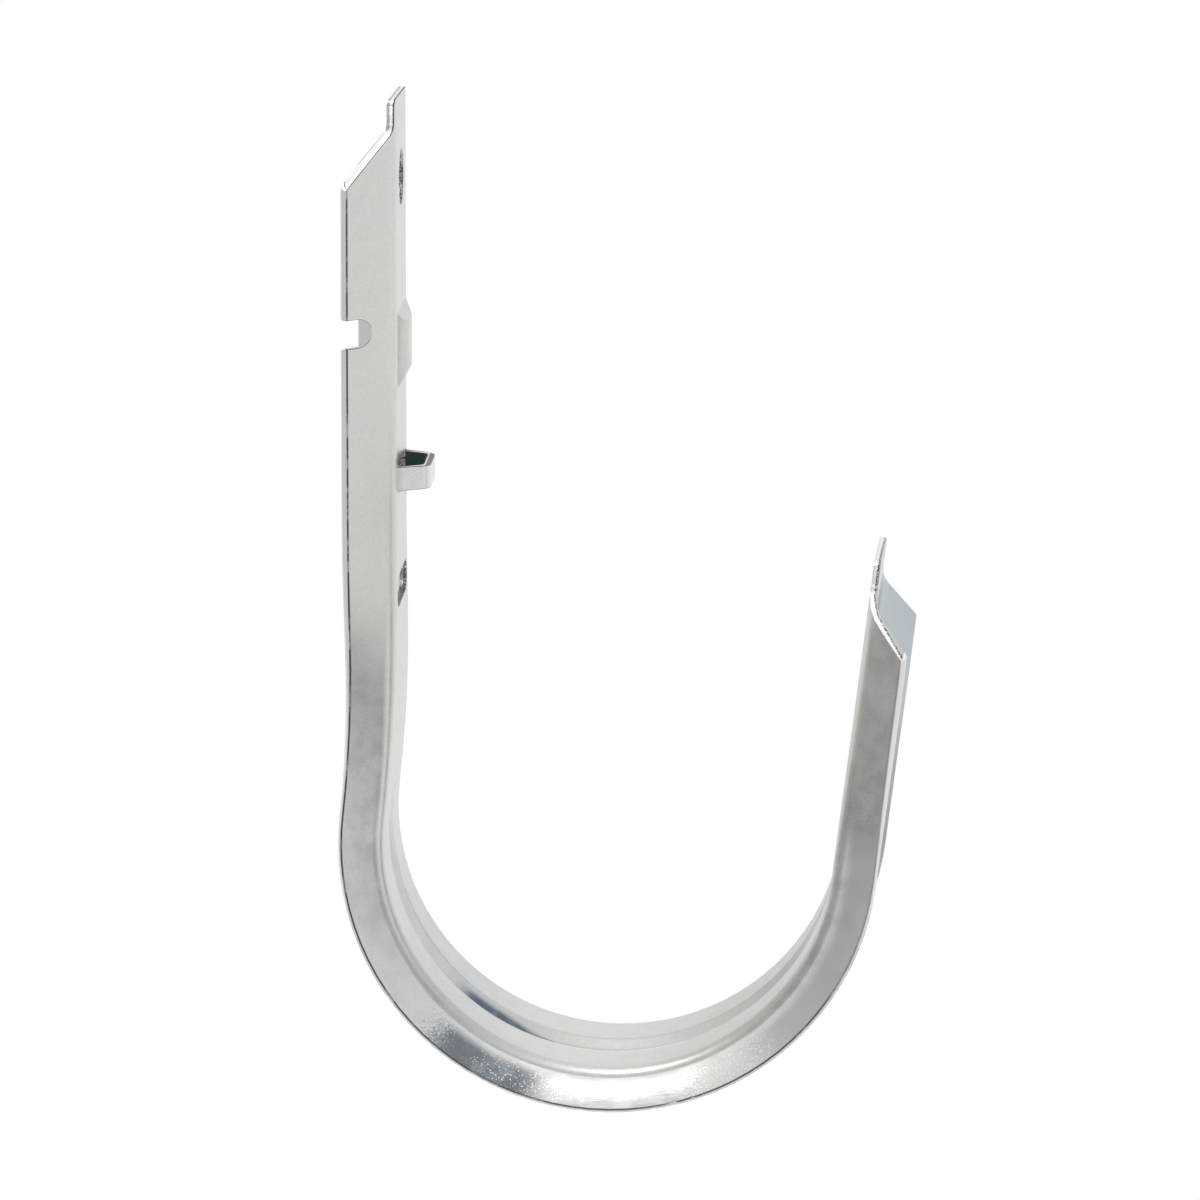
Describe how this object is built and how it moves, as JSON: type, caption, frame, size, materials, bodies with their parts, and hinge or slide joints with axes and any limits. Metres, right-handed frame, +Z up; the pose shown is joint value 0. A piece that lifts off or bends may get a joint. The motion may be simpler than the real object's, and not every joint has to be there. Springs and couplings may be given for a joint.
{
  "type": "j hook cable support",
  "caption": "J-shaped cable hook pressed from zinc-plated steel sheet: a channel shank with a mounting hole, a round grooved saddle for a bundle of cables, and a short leg that leans out.",
  "frame": {"origin": "centre of the mounting hole, on the face of the shank that the cables are on", "axes": "+X out of the mounting hole, from the shank across the saddle to the leg; +Y across the strip; +Z up, along the shank"},
  "size_m": [0.0654, 0.0254, 0.1172],
  "materials": {
    "zinc_plated_steel": "satin zinc plating"
  },
  "bodies": {
    "root": {"j_hook": "zinc_plated_steel"}
  },
  "joints": []
}
